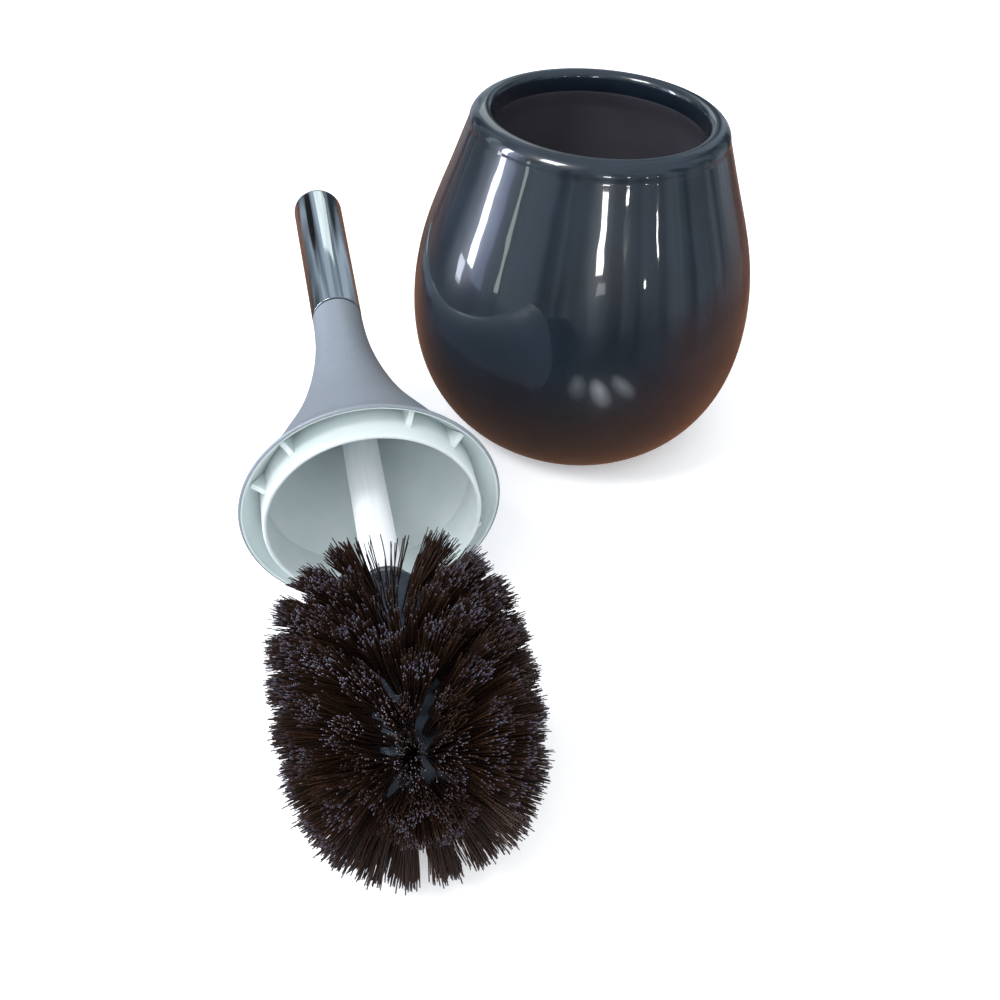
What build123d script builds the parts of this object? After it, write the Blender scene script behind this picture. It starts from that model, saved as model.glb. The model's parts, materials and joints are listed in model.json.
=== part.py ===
from build123d import *
import os
from math import cos, radians, sin

# Toilet brush with an egg-shaped ceramic pot.  Millimetres, +Z up, the floor is z = 0.
# The pot stands upright on the origin.  The brush lies on the floor beside it, resting
# on the rim of its lid and on its bristles.
#
# Brush pieces are drawn in the brush's own frame and then laid down: its origin is the
# middle of the lid's rim, its +Z runs up the handle, and the head is at negative z.

# --- pot ---------------------------------------------------------------------------
POT_HEIGHT = 130.0
POT_FOOT_RADIUS = 36.5
POT_MOUTH_RADIUS = 38.8
LIP_OUTER_ROUND = 5.5
LIP_INNER_ROUND = 2.6
LIP_DEPTH = 7.5
POT_FLOOR = 7.5

# --- lid ---------------------------------------------------------------------------
LID_RADIUS = 42.0
LID_HEIGHT = 110.0
LID_WALL = 1.6
NECK_INSIDE_RADIUS = 8.4
NECK_RADIUS = 9.4
NECK_SOCKET_BOTTOM = 84.0
NECK_SOCKET_TOP = 96.0
RING_OUTER_RADIUS = 34.8
RING_WALL = 1.4
RING_DROP = 5.5
RIB_THICKNESS = 1.8
RIB_PAIRS = 4
RIB_PAIR_MIDDLE = 32.5
RIB_HALF_SPREAD = 14.0

# --- stem and screw joints -----------------------------------------------------------
STEM_RADIUS = 6.0
STEM_BOTTOM = -32.0
THREAD_RADIUS = 4.0
THREAD_CLEARANCE = 0.05
THREAD_LENGTH = 14.0
THREAD_ANCHOR = 16.0
THREAD_END_GAP = 1.5
SEAL_THICKNESS = 0.8
SEAL_OUTER_RADIUS = 8.6

# --- handle ------------------------------------------------------------------------
HANDLE_BOTTOM = LID_HEIGHT + SEAL_THICKNESS
HANDLE_TOP = 198.0
HANDLE_BOTTOM_RADIUS = 9.5
HANDLE_TOP_RADIUS = 10.2
HANDLE_WALL = 0.8
HANDLE_END_ROUND = 4.2
PLUG_HEIGHT = 30.0

# --- brush head --------------------------------------------------------------------
HUB_TOP = STEM_BOTTOM - SEAL_THICKNESS
HUB_RADIUS = 11.5
HUB_TOP_RADIUS = 7.6
HUB_SHOULDER = -40.0
HUB_BARREL_END = -100.0
HUB_BOTTOM = -108.5
NUT_OUTER_RADIUS = 6.4
NUT_TOP = HUB_TOP - 1.2
TUFT_HOLE_RADIUS = 1.5
TUFT_HOLE_DEPTH = 3.0
TUFT_NECK = 2.0
TUFT_TIP_RADIUS = 3.3
CROWN_TIP_RADIUS = 2.4
TUFTS_PER_ROW = 14
TUFT_ROW_PHASE = 257.0
# One row of tufts each: distance of the roots below the lid's rim, root radius, tilt
# away from the lid, radius reached by the tips.
TUFT_ROWS = [
    (42.0, 11.5, -16.0, 26.0),
    (49.0, 11.5, -6.0, 35.0),
    (56.0, 11.5, -1.0, 37.8),
    (63.0, 11.5, 0.0, 38.2),
    (70.0, 11.5, 0.0, 38.2),
    (77.0, 11.5, 0.0, 38.2),
    (84.0, 11.5, 2.0, 38.0),
    (91.0, 11.5, 8.0, 36.8),
    (97.5, 11.5, 20.0, 34.8),
]
END_ROW = (103.5, 10.4, 36.0, 29.5)
CROWN_ROW = (107.4, 4.6, 66.0, 10.5)
CROWN_TUFTS = 7

# --- how the brush lies --------------------------------------------------------------
BRUSH_TURN = 14.5
BRUSH_TILT = 2.6
FLOOR_GAP = 0.05
LID_SPOT_X = -65.7
LID_SPOT_Y = -123.9
BRUSH_ON_FLOOR = Plane(
    origin=(LID_SPOT_X, LID_SPOT_Y, LID_RADIUS * cos(radians(BRUSH_TILT)) + FLOOR_GAP),
    x_dir=(cos(radians(BRUSH_TURN)), sin(radians(BRUSH_TURN)), 0),
    z_dir=(
        -sin(radians(BRUSH_TURN)) * cos(radians(BRUSH_TILT)),
        cos(radians(BRUSH_TURN)) * cos(radians(BRUSH_TILT)),
        sin(radians(BRUSH_TILT)),
    ),
).location


def at(radius, height):
    """Point of a turned profile."""
    return (radius, 0, height)


def polyline(*points):
    """Straight edges through the given profile points."""
    return [Line(at(*a), at(*b)) for a, b in zip(points, points[1:])]


def curve(*points, start=None, end=None):
    """Smooth edge through the given profile points, with its end directions."""
    return Spline(*[at(*p) for p in points], tangents=[at(*start), at(*end)])


def quarter(start, end, centre):
    """Quarter circle between two profile points around a centre."""
    middle = (
        centre[0] + ((start[0] - centre[0]) + (end[0] - centre[0])) * 0.5**0.5,
        centre[1] + ((start[1] - centre[1]) + (end[1] - centre[1])) * 0.5**0.5,
    )
    return ThreePointArc(at(*start), at(*middle), at(*end))


def turned(*edges):
    """Solid of revolution about Z from a closed profile."""
    return revolve(make_face(list(edges)), axis=Axis.Z)


def tube(inner, outer, bottom, top):
    """Plain ring or tube about Z."""
    return turned(*polyline((inner, bottom), (outer, bottom), (outer, top), (inner, top), (inner, bottom)))


def rod(radius, bottom, top):
    """Plain cylinder about Z."""
    return Pos(0, 0, (bottom + top) / 2) * Cylinder(radius, top - bottom)


def save(name, shape, lay_down=True):
    """Write one part file, with brush pieces moved to where the brush lies."""
    solids = [s.moved(BRUSH_ON_FLOOR) if lay_down else s for s in shape.solids()]
    whole = solids[0] if len(solids) == 1 else Compound(children=solids)
    export_step(whole, f"parts/{name}.step")


def make_pot():
    """Glazed pot: egg-shaped outside, thick rolled lip, even wall and flat foot."""
    lip_base = POT_HEIGHT - LIP_OUTER_ROUND
    lip_crest = POT_MOUTH_RADIUS + LIP_INNER_ROUND
    lip_outside = lip_crest + LIP_OUTER_ROUND
    inner_top = POT_HEIGHT - LIP_INNER_ROUND
    ledge = POT_HEIGHT - LIP_DEPTH
    return turned(
        Line(at(0, 0), at(POT_FOOT_RADIUS, 0)),
        curve(
            (POT_FOOT_RADIUS, 0),
            (49.3, 10.2),
            (60.3, 27.5),
            (65.0, 53.0),
            (61.7, 81.0),
            (53.7, 105.0),
            (lip_outside, lip_base),
            start=(0.84, 0.54),
            end=(-0.33, 0.94),
        ),
        quarter((lip_outside, lip_base), (lip_crest, POT_HEIGHT), (lip_crest, lip_base)),
        quarter((lip_crest, POT_HEIGHT), (POT_MOUTH_RADIUS, inner_top), (lip_crest, inner_top)),
        Line(at(POT_MOUTH_RADIUS, inner_top), at(POT_MOUTH_RADIUS, ledge)),
        curve(
            (POT_MOUTH_RADIUS, ledge),
            (43.4, 115.5),
            (48.8, 103.0),
            (56.1, 80.0),
            (59.4, 53.0),
            (54.8, 29.0),
            (44.0, 14.5),
            (30.0, POT_FLOOR + 0.6),
            (0, POT_FLOOR),
            start=(0.50, -0.86),
            end=(-1, 0),
        ),
        Line(at(0, POT_FLOOR), at(0, 0)),
    )


def lid_inside():
    """Solid that fills the hollow of the lid."""
    return turned(
        Line(at(0, 0), at(LID_RADIUS - LID_WALL, 0)),
        curve(
            (LID_RADIUS - LID_WALL, 0),
            (34.9, 8.8),
            (28.4, 22.0),
            (18.9, 44.0),
            (12.4, 66.0),
            (NECK_INSIDE_RADIUS, NECK_SOCKET_BOTTOM),
            start=(-0.50, 0.86),
            end=(-0.14, 0.99),
        ),
        Line(at(NECK_INSIDE_RADIUS, NECK_SOCKET_BOTTOM), at(0, NECK_SOCKET_BOTTOM)),
        Line(at(0, NECK_SOCKET_BOTTOM), at(0, 0)),
    )


def make_lid_shell(inside):
    """Trumpet-shaped lid with a socket for the stem and a hole for its stud."""
    outside = turned(
        Line(at(0, 0), at(LID_RADIUS, 0)),
        curve(
            (LID_RADIUS, 0),
            (36.8, 8.8),
            (30.4, 22.0),
            (20.8, 44.0),
            (14.1, 66.0),
            (10.3, 88.0),
            (NECK_RADIUS, LID_HEIGHT),
            start=(-0.45, 0.89),
            end=(0, 1),
        ),
        Line(at(NECK_RADIUS, LID_HEIGHT), at(0, LID_HEIGHT)),
        Line(at(0, LID_HEIGHT), at(0, 0)),
    )
    socket = rod(STEM_RADIUS, NECK_SOCKET_BOTTOM - 1, NECK_SOCKET_TOP)
    stud_hole = rod(THREAD_RADIUS, NECK_SOCKET_TOP - 1, LID_HEIGHT + 1)
    return outside - inside - socket - stud_hole


def make_lid_ring(inside):
    """Ring that drops into the pot's mouth; its top edge sits on the lid's wall."""
    below = rod(LID_RADIUS, -RING_DROP, 0)
    blank = tube(RING_OUTER_RADIUS - RING_WALL, RING_OUTER_RADIUS, -RING_DROP, 20.0)
    return blank & (inside + below)


def make_lid_ribs(inside):
    """Eight small gussets, in four pairs, between the ring and the lid's wall."""
    reach = LID_RADIUS - RING_OUTER_RADIUS
    gap = inside - rod(RING_OUTER_RADIUS, -1, 40.0)
    outline = Polyline(
        at(RING_OUTER_RADIUS - 0.1, -1.0),
        at(RING_OUTER_RADIUS + 1.2, 0.4),
        at(RING_OUTER_RADIUS + reach, 3.4),
        at(RING_OUTER_RADIUS + reach, 14.0),
        at(RING_OUTER_RADIUS - 0.1, 14.0),
        close=True,
    )
    plate = extrude(make_face(outline.edges()), amount=RIB_THICKNESS / 2, both=True)
    ribs = []
    for pair in range(RIB_PAIRS):
        middle = RIB_PAIR_MIDDLE + 360.0 * pair / RIB_PAIRS
        for side in (-1, 1):
            ribs += ((Rot(0, 0, middle + side * RIB_HALF_SPREAD) * plate) & gap).solids()
    return Compound(children=ribs)


def make_handle_sleeve():
    """Chromed handle: a slightly tapered tube drawn closed with a rounded end."""
    end_in = HANDLE_TOP_RADIUS - HANDLE_END_ROUND
    round_base = HANDLE_TOP - HANDLE_END_ROUND
    bore_in = HANDLE_TOP_RADIUS - HANDLE_WALL
    return turned(
        Line(at(HANDLE_BOTTOM_RADIUS, HANDLE_BOTTOM), at(HANDLE_TOP_RADIUS, round_base)),
        quarter((HANDLE_TOP_RADIUS, round_base), (end_in, HANDLE_TOP), (end_in, round_base)),
        Line(at(end_in, HANDLE_TOP), at(0, HANDLE_TOP)),
        Line(at(0, HANDLE_TOP), at(0, HANDLE_TOP - HANDLE_WALL)),
        Line(at(0, HANDLE_TOP - HANDLE_WALL), at(end_in, HANDLE_TOP - HANDLE_WALL)),
        quarter((end_in, HANDLE_TOP - HANDLE_WALL), (bore_in, round_base), (end_in, round_base)),
        Line(at(bore_in, round_base), at(HANDLE_BOTTOM_RADIUS - HANDLE_WALL, HANDLE_BOTTOM)),
        Line(at(HANDLE_BOTTOM_RADIUS - HANDLE_WALL, HANDLE_BOTTOM), at(HANDLE_BOTTOM_RADIUS, HANDLE_BOTTOM)),
    )


def make_handle_plug():
    """Plastic plug inside the handle, with the screw hole for the stem's stud."""
    length = HANDLE_TOP - HANDLE_END_ROUND - HANDLE_BOTTOM
    growth = (HANDLE_TOP_RADIUS - HANDLE_BOTTOM_RADIUS) / length
    bottom_radius = HANDLE_BOTTOM_RADIUS - HANDLE_WALL
    top_radius = bottom_radius + growth * PLUG_HEIGHT
    top = HANDLE_BOTTOM + PLUG_HEIGHT
    hole_top = LID_HEIGHT + THREAD_LENGTH + THREAD_END_GAP
    hole = THREAD_RADIUS + THREAD_CLEARANCE
    return turned(
        *polyline(
            (hole, HANDLE_BOTTOM),
            (bottom_radius, HANDLE_BOTTOM),
            (top_radius, top),
            (0, top),
            (0, hole_top),
            (hole, hole_top),
            (hole, HANDLE_BOTTOM),
        )
    )


def tuft_places(row, count, phase):
    """Position and direction of every tuft of one row, as locations with +Z outwards."""
    depth, root_radius, tilt, tip_radius = row
    places = []
    for i in range(count):
        turn = Rot(0, 0, phase + 360.0 * i / count)
        root = Pos(root_radius, 0, -depth) * Rot(0, 90 + tilt, 0)
        places.append(turn * root)
    return places


def tuft_solid(row, tip_radius):
    """One tuft: a straight root in its hole and a widening bundle of bristles."""
    length = (row[3] - row[1]) / cos(radians(row[2]))
    return turned(
        *polyline(
            (0, -TUFT_HOLE_DEPTH),
            (TUFT_HOLE_RADIUS, -TUFT_HOLE_DEPTH),
            (TUFT_HOLE_RADIUS, TUFT_NECK),
            (tip_radius, length),
            (0, length),
            (0, -TUFT_HOLE_DEPTH),
        )
    )


def make_hub(places):
    """Core of the head: shoulder, barrel and rounded end, with the tuft holes."""
    end_round = HUB_BARREL_END - HUB_BOTTOM
    nut_bottom = NUT_TOP - THREAD_LENGTH
    hub = turned(
        Line(at(0, HUB_TOP), at(HUB_TOP_RADIUS, HUB_TOP)),
        curve(
            (HUB_TOP_RADIUS, HUB_TOP),
            (HUB_RADIUS, HUB_SHOULDER),
            start=(0.25, -0.97),
            end=(0, -1),
        ),
        Line(at(HUB_RADIUS, HUB_SHOULDER), at(HUB_RADIUS, HUB_BARREL_END)),
        quarter(
            (HUB_RADIUS, HUB_BARREL_END),
            (HUB_RADIUS - end_round, HUB_BOTTOM),
            (HUB_RADIUS - end_round, HUB_BARREL_END),
        ),
        Line(at(HUB_RADIUS - end_round, HUB_BOTTOM), at(0, HUB_BOTTOM)),
        Line(at(0, HUB_BOTTOM), at(0, HUB_TOP)),
    )
    hub -= rod(THREAD_RADIUS + THREAD_CLEARANCE, NUT_TOP - 1, HUB_TOP + 1)
    hub -= rod(NUT_OUTER_RADIUS, nut_bottom, NUT_TOP)
    hole = rod(TUFT_HOLE_RADIUS, -TUFT_HOLE_DEPTH, TUFT_HOLE_DEPTH)
    return hub - [place * hole for place in places]


os.makedirs("parts", exist_ok=True)

save("pot_body", make_pot(), lay_down=False)

inside = lid_inside()
save("lid_shell", make_lid_shell(inside))
save("lid_ring", make_lid_ring(inside))
save("lid_ribs", make_lid_ribs(inside))

save("stem_tube", tube(THREAD_RADIUS, STEM_RADIUS, STEM_BOTTOM, NECK_SOCKET_TOP))
save("stem_stud", rod(THREAD_RADIUS, NECK_SOCKET_TOP - THREAD_ANCHOR, LID_HEIGHT + THREAD_LENGTH))
save("stem_spigot", rod(THREAD_RADIUS, STEM_BOTTOM - THREAD_LENGTH, STEM_BOTTOM + THREAD_ANCHOR))

seal_bore = THREAD_RADIUS + THREAD_CLEARANCE
save("handle_seal", tube(seal_bore, SEAL_OUTER_RADIUS, LID_HEIGHT, HANDLE_BOTTOM))
save("head_seal", tube(seal_bore, STEM_RADIUS, HUB_TOP, STEM_BOTTOM))

save("handle_sleeve", make_handle_sleeve())
save("handle_plug", make_handle_plug())

save("head_nut", tube(seal_bore, NUT_OUTER_RADIUS, NUT_TOP - THREAD_LENGTH, NUT_TOP))

all_places = []
half_step = 180.0 / TUFTS_PER_ROW
for number, row in enumerate(TUFT_ROWS + [END_ROW], start=1):
    # Every second row is turned by half a step; the end row lines up with the row before it.
    turned_row = number < len(TUFT_ROWS) and number % 2 == 0
    phase = TUFT_ROW_PHASE + (half_step if turned_row else 0)
    places = tuft_places(row, TUFTS_PER_ROW, phase)
    tuft = tuft_solid(row, TUFT_TIP_RADIUS)
    save(f"tufts_row_{number:02d}", Compound(children=[place * tuft for place in places]))
    all_places += places
crown_places = tuft_places(CROWN_ROW, CROWN_TUFTS, TUFT_ROW_PHASE)
crown_tuft = tuft_solid(CROWN_ROW, CROWN_TIP_RADIUS)
save("tufts_crown", Compound(children=[place * crown_tuft for place in crown_places]))
all_places += crown_places

save("head_hub", make_hub(all_places))
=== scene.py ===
"""Finished model of the toilet brush and its pot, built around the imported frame."""

import json
from math import cos, pi, radians, sin

import bmesh
import bpy
import numpy as np
from mathutils import Euler, Matrix, Vector


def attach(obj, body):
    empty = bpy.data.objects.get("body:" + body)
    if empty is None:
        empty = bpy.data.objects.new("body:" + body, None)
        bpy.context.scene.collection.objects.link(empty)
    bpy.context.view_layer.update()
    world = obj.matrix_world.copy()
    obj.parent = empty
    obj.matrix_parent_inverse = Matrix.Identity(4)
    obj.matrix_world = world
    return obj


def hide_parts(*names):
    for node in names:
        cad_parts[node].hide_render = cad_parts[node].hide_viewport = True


bl_info = {
    "name": "Toilet Brush and Pot",
    "version": (1, 0, 0),
    "blender": (4, 5, 0),
    "location": "View3D > Sidebar > Brush",
    "description": "Builds the finished surfaces of a toilet brush and its glazed pot",
    "category": "Add Mesh",
}

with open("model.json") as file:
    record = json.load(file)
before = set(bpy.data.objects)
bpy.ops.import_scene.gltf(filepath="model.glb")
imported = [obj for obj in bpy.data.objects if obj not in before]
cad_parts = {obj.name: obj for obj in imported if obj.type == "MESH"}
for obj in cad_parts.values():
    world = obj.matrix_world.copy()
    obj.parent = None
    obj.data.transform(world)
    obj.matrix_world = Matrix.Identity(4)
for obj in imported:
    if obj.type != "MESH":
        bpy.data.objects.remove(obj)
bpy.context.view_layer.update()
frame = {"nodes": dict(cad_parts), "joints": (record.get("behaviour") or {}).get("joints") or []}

MM = 0.001


def find_brush_frame():
    """The brush's own frame: origin in the middle of the lid's rim, +Z up the handle."""
    joint = next(j for j in frame["joints"] if j["name"] == "handle_turn")
    up = Vector(joint["axis"]).normalized()
    side = Vector((up.y, -up.x, 0)).normalized()
    turn = Matrix((side, up.cross(side), up)).transposed().to_4x4()
    return Matrix.Translation(Vector(joint["pos_m"])) @ turn


BRUSH = find_brush_frame()
BRUSH_EULER = BRUSH.to_euler()

# Sizes are in millimetres. Outlines are (radius, height), with heights above the floor for
# the pot, and above the lid's rim, along the handle, for the brush.
POT_HEIGHT = 130.0
POT_FOOT = 36.5
FOOT_BAND = 1.2
POT_OUTSIDE = [
    (POT_FOOT, 0),
    (49.3, 10.2),
    (60.3, 27.5),
    (65.0, 53.0),
    (61.7, 81.0),
    (53.7, 105.0),
    (46.9, 124.5),
]
POT_INSIDE = [
    (38.8, 122.5),
    (43.4, 115.5),
    (48.8, 103.0),
    (56.1, 80.0),
    (59.4, 53.0),
    (54.8, 29.0),
    (44.0, 14.5),
    (30.0, 8.1),
    (0, 7.5),
]
LIP_MIDDLE = 41.4
LIP_ROUND = 5.5
LIP_INNER_ROUND = 2.6

LID_OUTSIDE = [
    (42.0, 0.6),
    (36.8, 8.8),
    (30.4, 22.0),
    (20.8, 44.0),
    (14.1, 66.0),
    (10.3, 88.0),
    (9.4, 109.4),
]
LID_INSIDE = [(8.4, 84.0), (12.4, 66.0), (18.9, 44.0), (28.4, 22.0), (34.9, 8.8), (40.4, 0.6)]
LID_TOP = 110.0
LID_TOP_RADIUS = 9.4
LID_TOP_ROUND = 0.5
RIM_MIDDLE = 41.2
RIM_ROUND = 0.8
SOCKET_MOUTH = 84.0
RING_MIDDLE = 34.1
RING_ROUND = 0.7
RING_DROP = 4.8
RING_OUTER_TOP = 9.0
RING_INNER_TOP = 11.2

STEM_RADIUS = 6.0
STEM_BORE = 4.0
STEM_TOP = 96.0
STEM_MIDDLE = 40.0
STEM_BOTTOM = -32.0
STEM_ROUND = 0.4

HANDLE_BOTTOM = 110.8
HANDLE_SHOULDER = 193.8
HANDLE_FOOT_RADIUS = 9.5
HANDLE_FOOT_ROUND = 0.2
HANDLE_END_MIDDLE = 6.0
HANDLE_END_ROUND = 4.2
HANDLE_WALL = 0.8

HUB_RADIUS = 11.5
HUB_TOP = -32.8
HUB_TOP_RADIUS = 7.6
HUB_TOP_ROUND = 0.6
HUB_SHOULDER = -40.0
HUB_END = -108.5
HUB_END_ROUND = 8.5


# --- shaping ---------------------------------------------------------------------------


def flow(points, start, end, steps=14):
    """Curve through the points with even curvature, leaving along start, arriving along end."""
    p = np.array(points, float)
    gaps = np.linalg.norm(np.diff(p, axis=0), axis=1)
    system = np.eye(len(p))
    slopes = np.zeros((len(p), 2))
    slopes[0] = np.array(start) / np.linalg.norm(start)
    slopes[-1] = np.array(end) / np.linalg.norm(end)
    for i in range(1, len(p) - 1):
        before, after = gaps[i - 1], gaps[i]
        system[i, i - 1 : i + 2] = after, 2 * (before + after), before
        slopes[i] = 3 * (after * (p[i] - p[i - 1]) / before + before * (p[i + 1] - p[i]) / after)
    slopes = np.linalg.solve(system, slopes)
    curve = []
    for i, gap in enumerate(gaps):
        for t in np.linspace(0, 1, steps, endpoint=False):
            here = (2 * t**3 - 3 * t**2 + 1) * p[i] + (3 * t**2 - 2 * t**3) * p[i + 1]
            turn = (t**3 - 2 * t**2 + t) * slopes[i] + (t**3 - t**2) * slopes[i + 1]
            curve.append(tuple(here + gap * turn))
    return curve + [tuple(p[-1])]


def arc(centre, radius, first, last, steps=8):
    """Points of a circular arc between two angles in degrees."""
    angles = np.radians(np.linspace(first, last, steps + 1))
    return [(centre[0] + radius * cos(a), centre[1] + radius * sin(a)) for a in angles]


def plain_object(name, mesh):
    """A new object for the mesh, at the origin, in the scene."""
    piece = bpy.data.objects.new(name, mesh)
    bpy.context.scene.collection.objects.link(piece)
    return piece


def spin(name, outline, materials, place=Matrix(), steps=144, paint=None, crease=32):
    """An outline in millimetres turned about Z and put in place, as one closed shell.

    paint picks a material for each band, and edges sharper than crease degrees stay sharp.
    """
    shape = bmesh.new()
    turns = [2 * pi * i / steps for i in range(steps)]
    rings = []
    for radius, height in outline:
        angles = [0.0] if radius == 0 else turns
        places = [Vector((radius * cos(a), radius * sin(a), height)) * MM for a in angles]
        rings.append([shape.verts.new(corner) for corner in places])
    closed = len(rings[0]) > 1
    for band in range(len(rings) if closed else len(rings) - 1):
        low, high = rings[band], rings[(band + 1) % len(rings)]
        if len(low) == len(high) == 1:
            continue
        for i in range(steps):
            j = (i + 1) % steps
            corners = [low[i % len(low)], low[j % len(low)], high[j % len(high)], high[i % len(high)]]
            face = shape.faces.new(dict.fromkeys(corners))
            face.material_index = paint(band) if paint else 0
    bmesh.ops.recalc_face_normals(shape, faces=shape.faces)
    mesh = bpy.data.meshes.new(name)
    shape.to_mesh(mesh)
    shape.free()
    mesh.transform(place)
    mesh.shade_smooth()
    mesh.set_sharp_from_angle(angle=radians(crease))
    for material in materials:
        mesh.materials.append(material)
    return plain_object(name, mesh)


# --- nodes -----------------------------------------------------------------------------


def add(tree, kind, inputs=None, **settings):
    """Add one node, set it up, and set or link its inputs."""
    node = tree.nodes.new(kind)
    for name, value in settings.items():
        setattr(node, name, value)
    for name, value in (inputs or {}).items():
        if isinstance(value, bpy.types.NodeSocket):
            tree.links.new(value, node.inputs[name])
        else:
            node.inputs[name].default_value = value
    return node


def linear(colour):
    """An sRGB hex colour as the linear RGBA that shaders read."""
    channels = [int(colour[i : i + 2], 16) / 255 for i in (1, 3, 5)]
    return [c / 12.92 if c <= 0.04045 else ((c + 0.055) / 1.055) ** 2.4 for c in channels] + [1.0]


def surface(name, **sockets):
    """A material with a Principled shader; returns the material, its tree and its shader."""
    material = bpy.data.materials.new(name)
    material.use_nodes = True
    shader = material.node_tree.nodes["Principled BSDF"]
    for socket, value in sockets.items():
        shader.inputs[socket.replace("_", " ")].default_value = value
    return material, material.node_tree, shader


def blend_colour(tree, share, first, second):
    """A colour that goes from first to second as share goes from 0 to 1."""
    mix = add(tree, "ShaderNodeMix", {0: share}, data_type="RGBA")
    for index, colour in ((6, first), (7, second)):
        if isinstance(colour, bpy.types.NodeSocket):
            tree.links.new(colour, mix.inputs[index])
        else:
            mix.inputs[index].default_value = linear(colour)
    return mix.outputs[2]


def grain(tree, size_mm, detail=2.0, stretch=(1, 1, 1), turn=(0, 0, 0)):
    """Noise with features of about the given size, stretched along the axes of a turned frame."""
    place = add(tree, "ShaderNodeTexCoord").outputs["Object"]
    mapped = add(
        tree,
        "ShaderNodeMapping",
        {"Vector": place, "Scale": stretch, "Rotation": turn},
        vector_type="TEXTURE",
    ).outputs[0]
    scale = 1 / (size_mm * MM)
    noise = add(tree, "ShaderNodeTexNoise", {"Vector": mapped, "Scale": scale, "Detail": detail})
    return noise.outputs["Fac"]


def spread(tree, value, low, high, first=0.3, last=0.7):
    """The value mapped from first..last to low..high."""
    return add(
        tree,
        "ShaderNodeMapRange",
        {"Value": value, "From Min": first, "From Max": last, "To Min": low, "To Max": high},
    ).outputs[0]


def relief(tree, shader, height, depth_mm, strength=1.0):
    """Bump of the given depth on the shader and its coat."""
    settings = {"Height": height, "Strength": strength, "Distance": depth_mm * MM}
    bump = add(tree, "ShaderNodeBump", settings)
    tree.links.new(bump.outputs[0], shader.inputs["Normal"])
    tree.links.new(bump.outputs[0], shader.inputs["Coat Normal"])


# --- materials -------------------------------------------------------------------------


def dark_gloss_glaze(name, full, deep, foot_reflection):
    """Stoneware dipped in a blue-black gloss glaze: glassy, faintly uneven, with a painted warm
    reflection of a brown floor near the foot.
    """
    material, tree, shader = surface(
        name, Roughness=0.3, IOR=1.55, Coat_Weight=1.0, Coat_Roughness=0.035, Coat_IOR=1.6
    )
    place = add(tree, "ShaderNodeTexCoord").outputs["Object"]
    height = add(tree, "ShaderNodeSeparateXYZ", {0: place}).outputs["Z"]
    pooled = blend_colour(tree, spread(tree, grain(tree, 22), 0, 1), full, deep)
    # Near the foot the glaze blends into a painted warm reflection of a brown floor.
    colour = blend_colour(tree, spread(tree, height, 1.0, 0.0, 0.005, 0.06), pooled, foot_reflection)
    tree.links.new(colour, shader.inputs["Base Color"])
    # The glaze settles in low waves about a centimetre across, which bend the reflections.
    relief(tree, shader, grain(tree, 9, 1.0, (1, 1, 2)), 0.18, 0.65)
    return material


def pearl_lacquer(look):
    """ABS sprayed with a satin pearl-silver lacquer: soft sheen with a fine metallic flake."""
    material, tree, shader = surface(
        "abs_pearl_silver_lacquer", Metallic=0.25, Coat_Weight=0.15, Coat_Roughness=0.4
    )
    flake = grain(tree, 0.35, 3)
    colour = blend_colour(tree, spread(tree, flake, 0, 1), look.lid, look.lid_flake)
    tree.links.new(colour, shader.inputs["Base Color"])
    tree.links.new(spread(tree, grain(tree, 9), 0.42, 0.5), shader.inputs["Roughness"])
    relief(tree, shader, flake, 0.02, 0.25)
    return material


def moulded_abs(look):
    """Bare pale grey ABS as it left the mould: even, half matt, a little cloudy."""
    material, tree, shader = surface("abs_moulded_pale_grey", IOR=1.54)
    clouds = spread(tree, grain(tree, 14), 0, 1)
    colour = blend_colour(tree, clouds, look.lid_inside, look.lid_inside_cloud)
    tree.links.new(colour, shader.inputs["Base Color"])
    tree.links.new(spread(tree, grain(tree, 5), 0.36, 0.5), shader.inputs["Roughness"])
    relief(tree, shader, grain(tree, 0.8, 3), 0.02, 0.3)
    return material


def white_polypropylene(look):
    """Extruded white polypropylene: bright, waxy, with faint draw lines along the tube."""
    material, tree, shader = surface("polypropylene_white_extruded", IOR=1.49)
    lines = grain(tree, 1.0, 2, (1, 1, 40), BRUSH_EULER)
    colour = blend_colour(tree, spread(tree, lines, 0, 1), look.stem, look.stem_shade)
    tree.links.new(colour, shader.inputs["Base Color"])
    tree.links.new(spread(tree, lines, 0.28, 0.36), shader.inputs["Roughness"])
    return material


def chrome_plate(look):
    """Polished steel tube with bright chrome plating: mirror-like, faint lines along its length."""
    material, tree, shader = surface("steel_chrome_plated", Metallic=1.0)
    shader.inputs["Base Color"].default_value = linear(look.chrome)
    lines = grain(tree, 1.6, 3, (1, 1, 20), BRUSH_EULER)
    tree.links.new(spread(tree, lines, 0.05, 0.11), shader.inputs["Roughness"])
    relief(tree, shader, grain(tree, 4, 1, (1, 1, 8), BRUSH_EULER), 0.05, 0.35)
    return material


def slate_polypropylene(look):
    """Moulded slate-grey polypropylene of the brush head: satin with a fine moulded texture."""
    material, tree, shader = surface("polypropylene_slate_moulded", IOR=1.49)
    colour = blend_colour(tree, spread(tree, grain(tree, 6), 0, 1), look.hub, look.hub_light)
    tree.links.new(colour, shader.inputs["Base Color"])
    tree.links.new(spread(tree, grain(tree, 2.5), 0.34, 0.48), shader.inputs["Roughness"])
    relief(tree, shader, grain(tree, 0.7, 2), 0.03, 0.35)
    return material


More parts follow.
